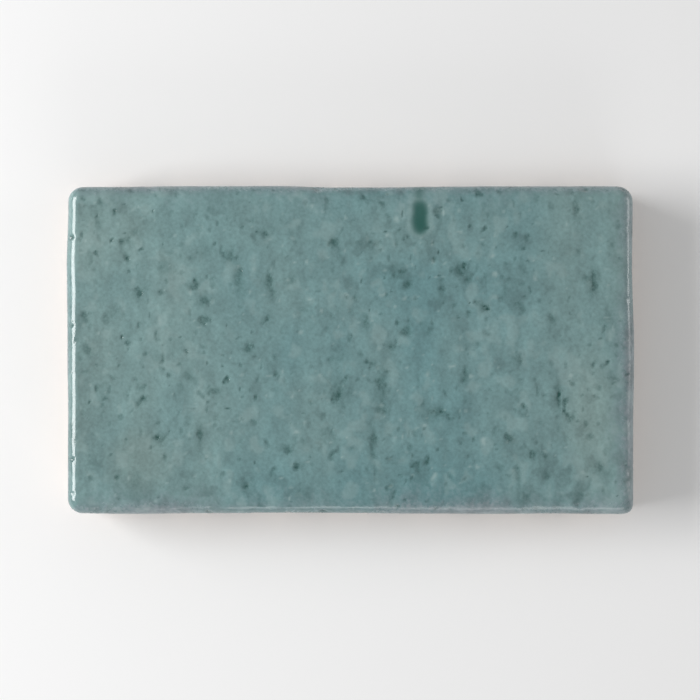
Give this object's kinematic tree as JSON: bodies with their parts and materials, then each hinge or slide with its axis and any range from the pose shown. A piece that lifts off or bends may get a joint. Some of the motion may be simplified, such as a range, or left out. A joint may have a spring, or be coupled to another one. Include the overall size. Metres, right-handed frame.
{
  "type": "glazed brick tile",
  "caption": "Thin extruded brick tile with a glazed front face, rounded edges and dovetail key grooves along its back, laid in mortar joints as wall cladding.",
  "frame": {"origin": "middle of the back, on the plane that the tile's lands lie on", "axes": "+Z from the back to the glazed face, +X along the tile's length, +Y along its course height"},
  "size_m": [0.098, 0.057, 0.013],
  "materials": {
    "glazed_brick": "satin-gloss translucent grey-teal glaze over a speckled, fired brick body; the back and lower edges are bare fired clay"
  },
  "bodies": {
    "root": {"brick_tile": "glazed_brick"}
  },
  "joints": []
}
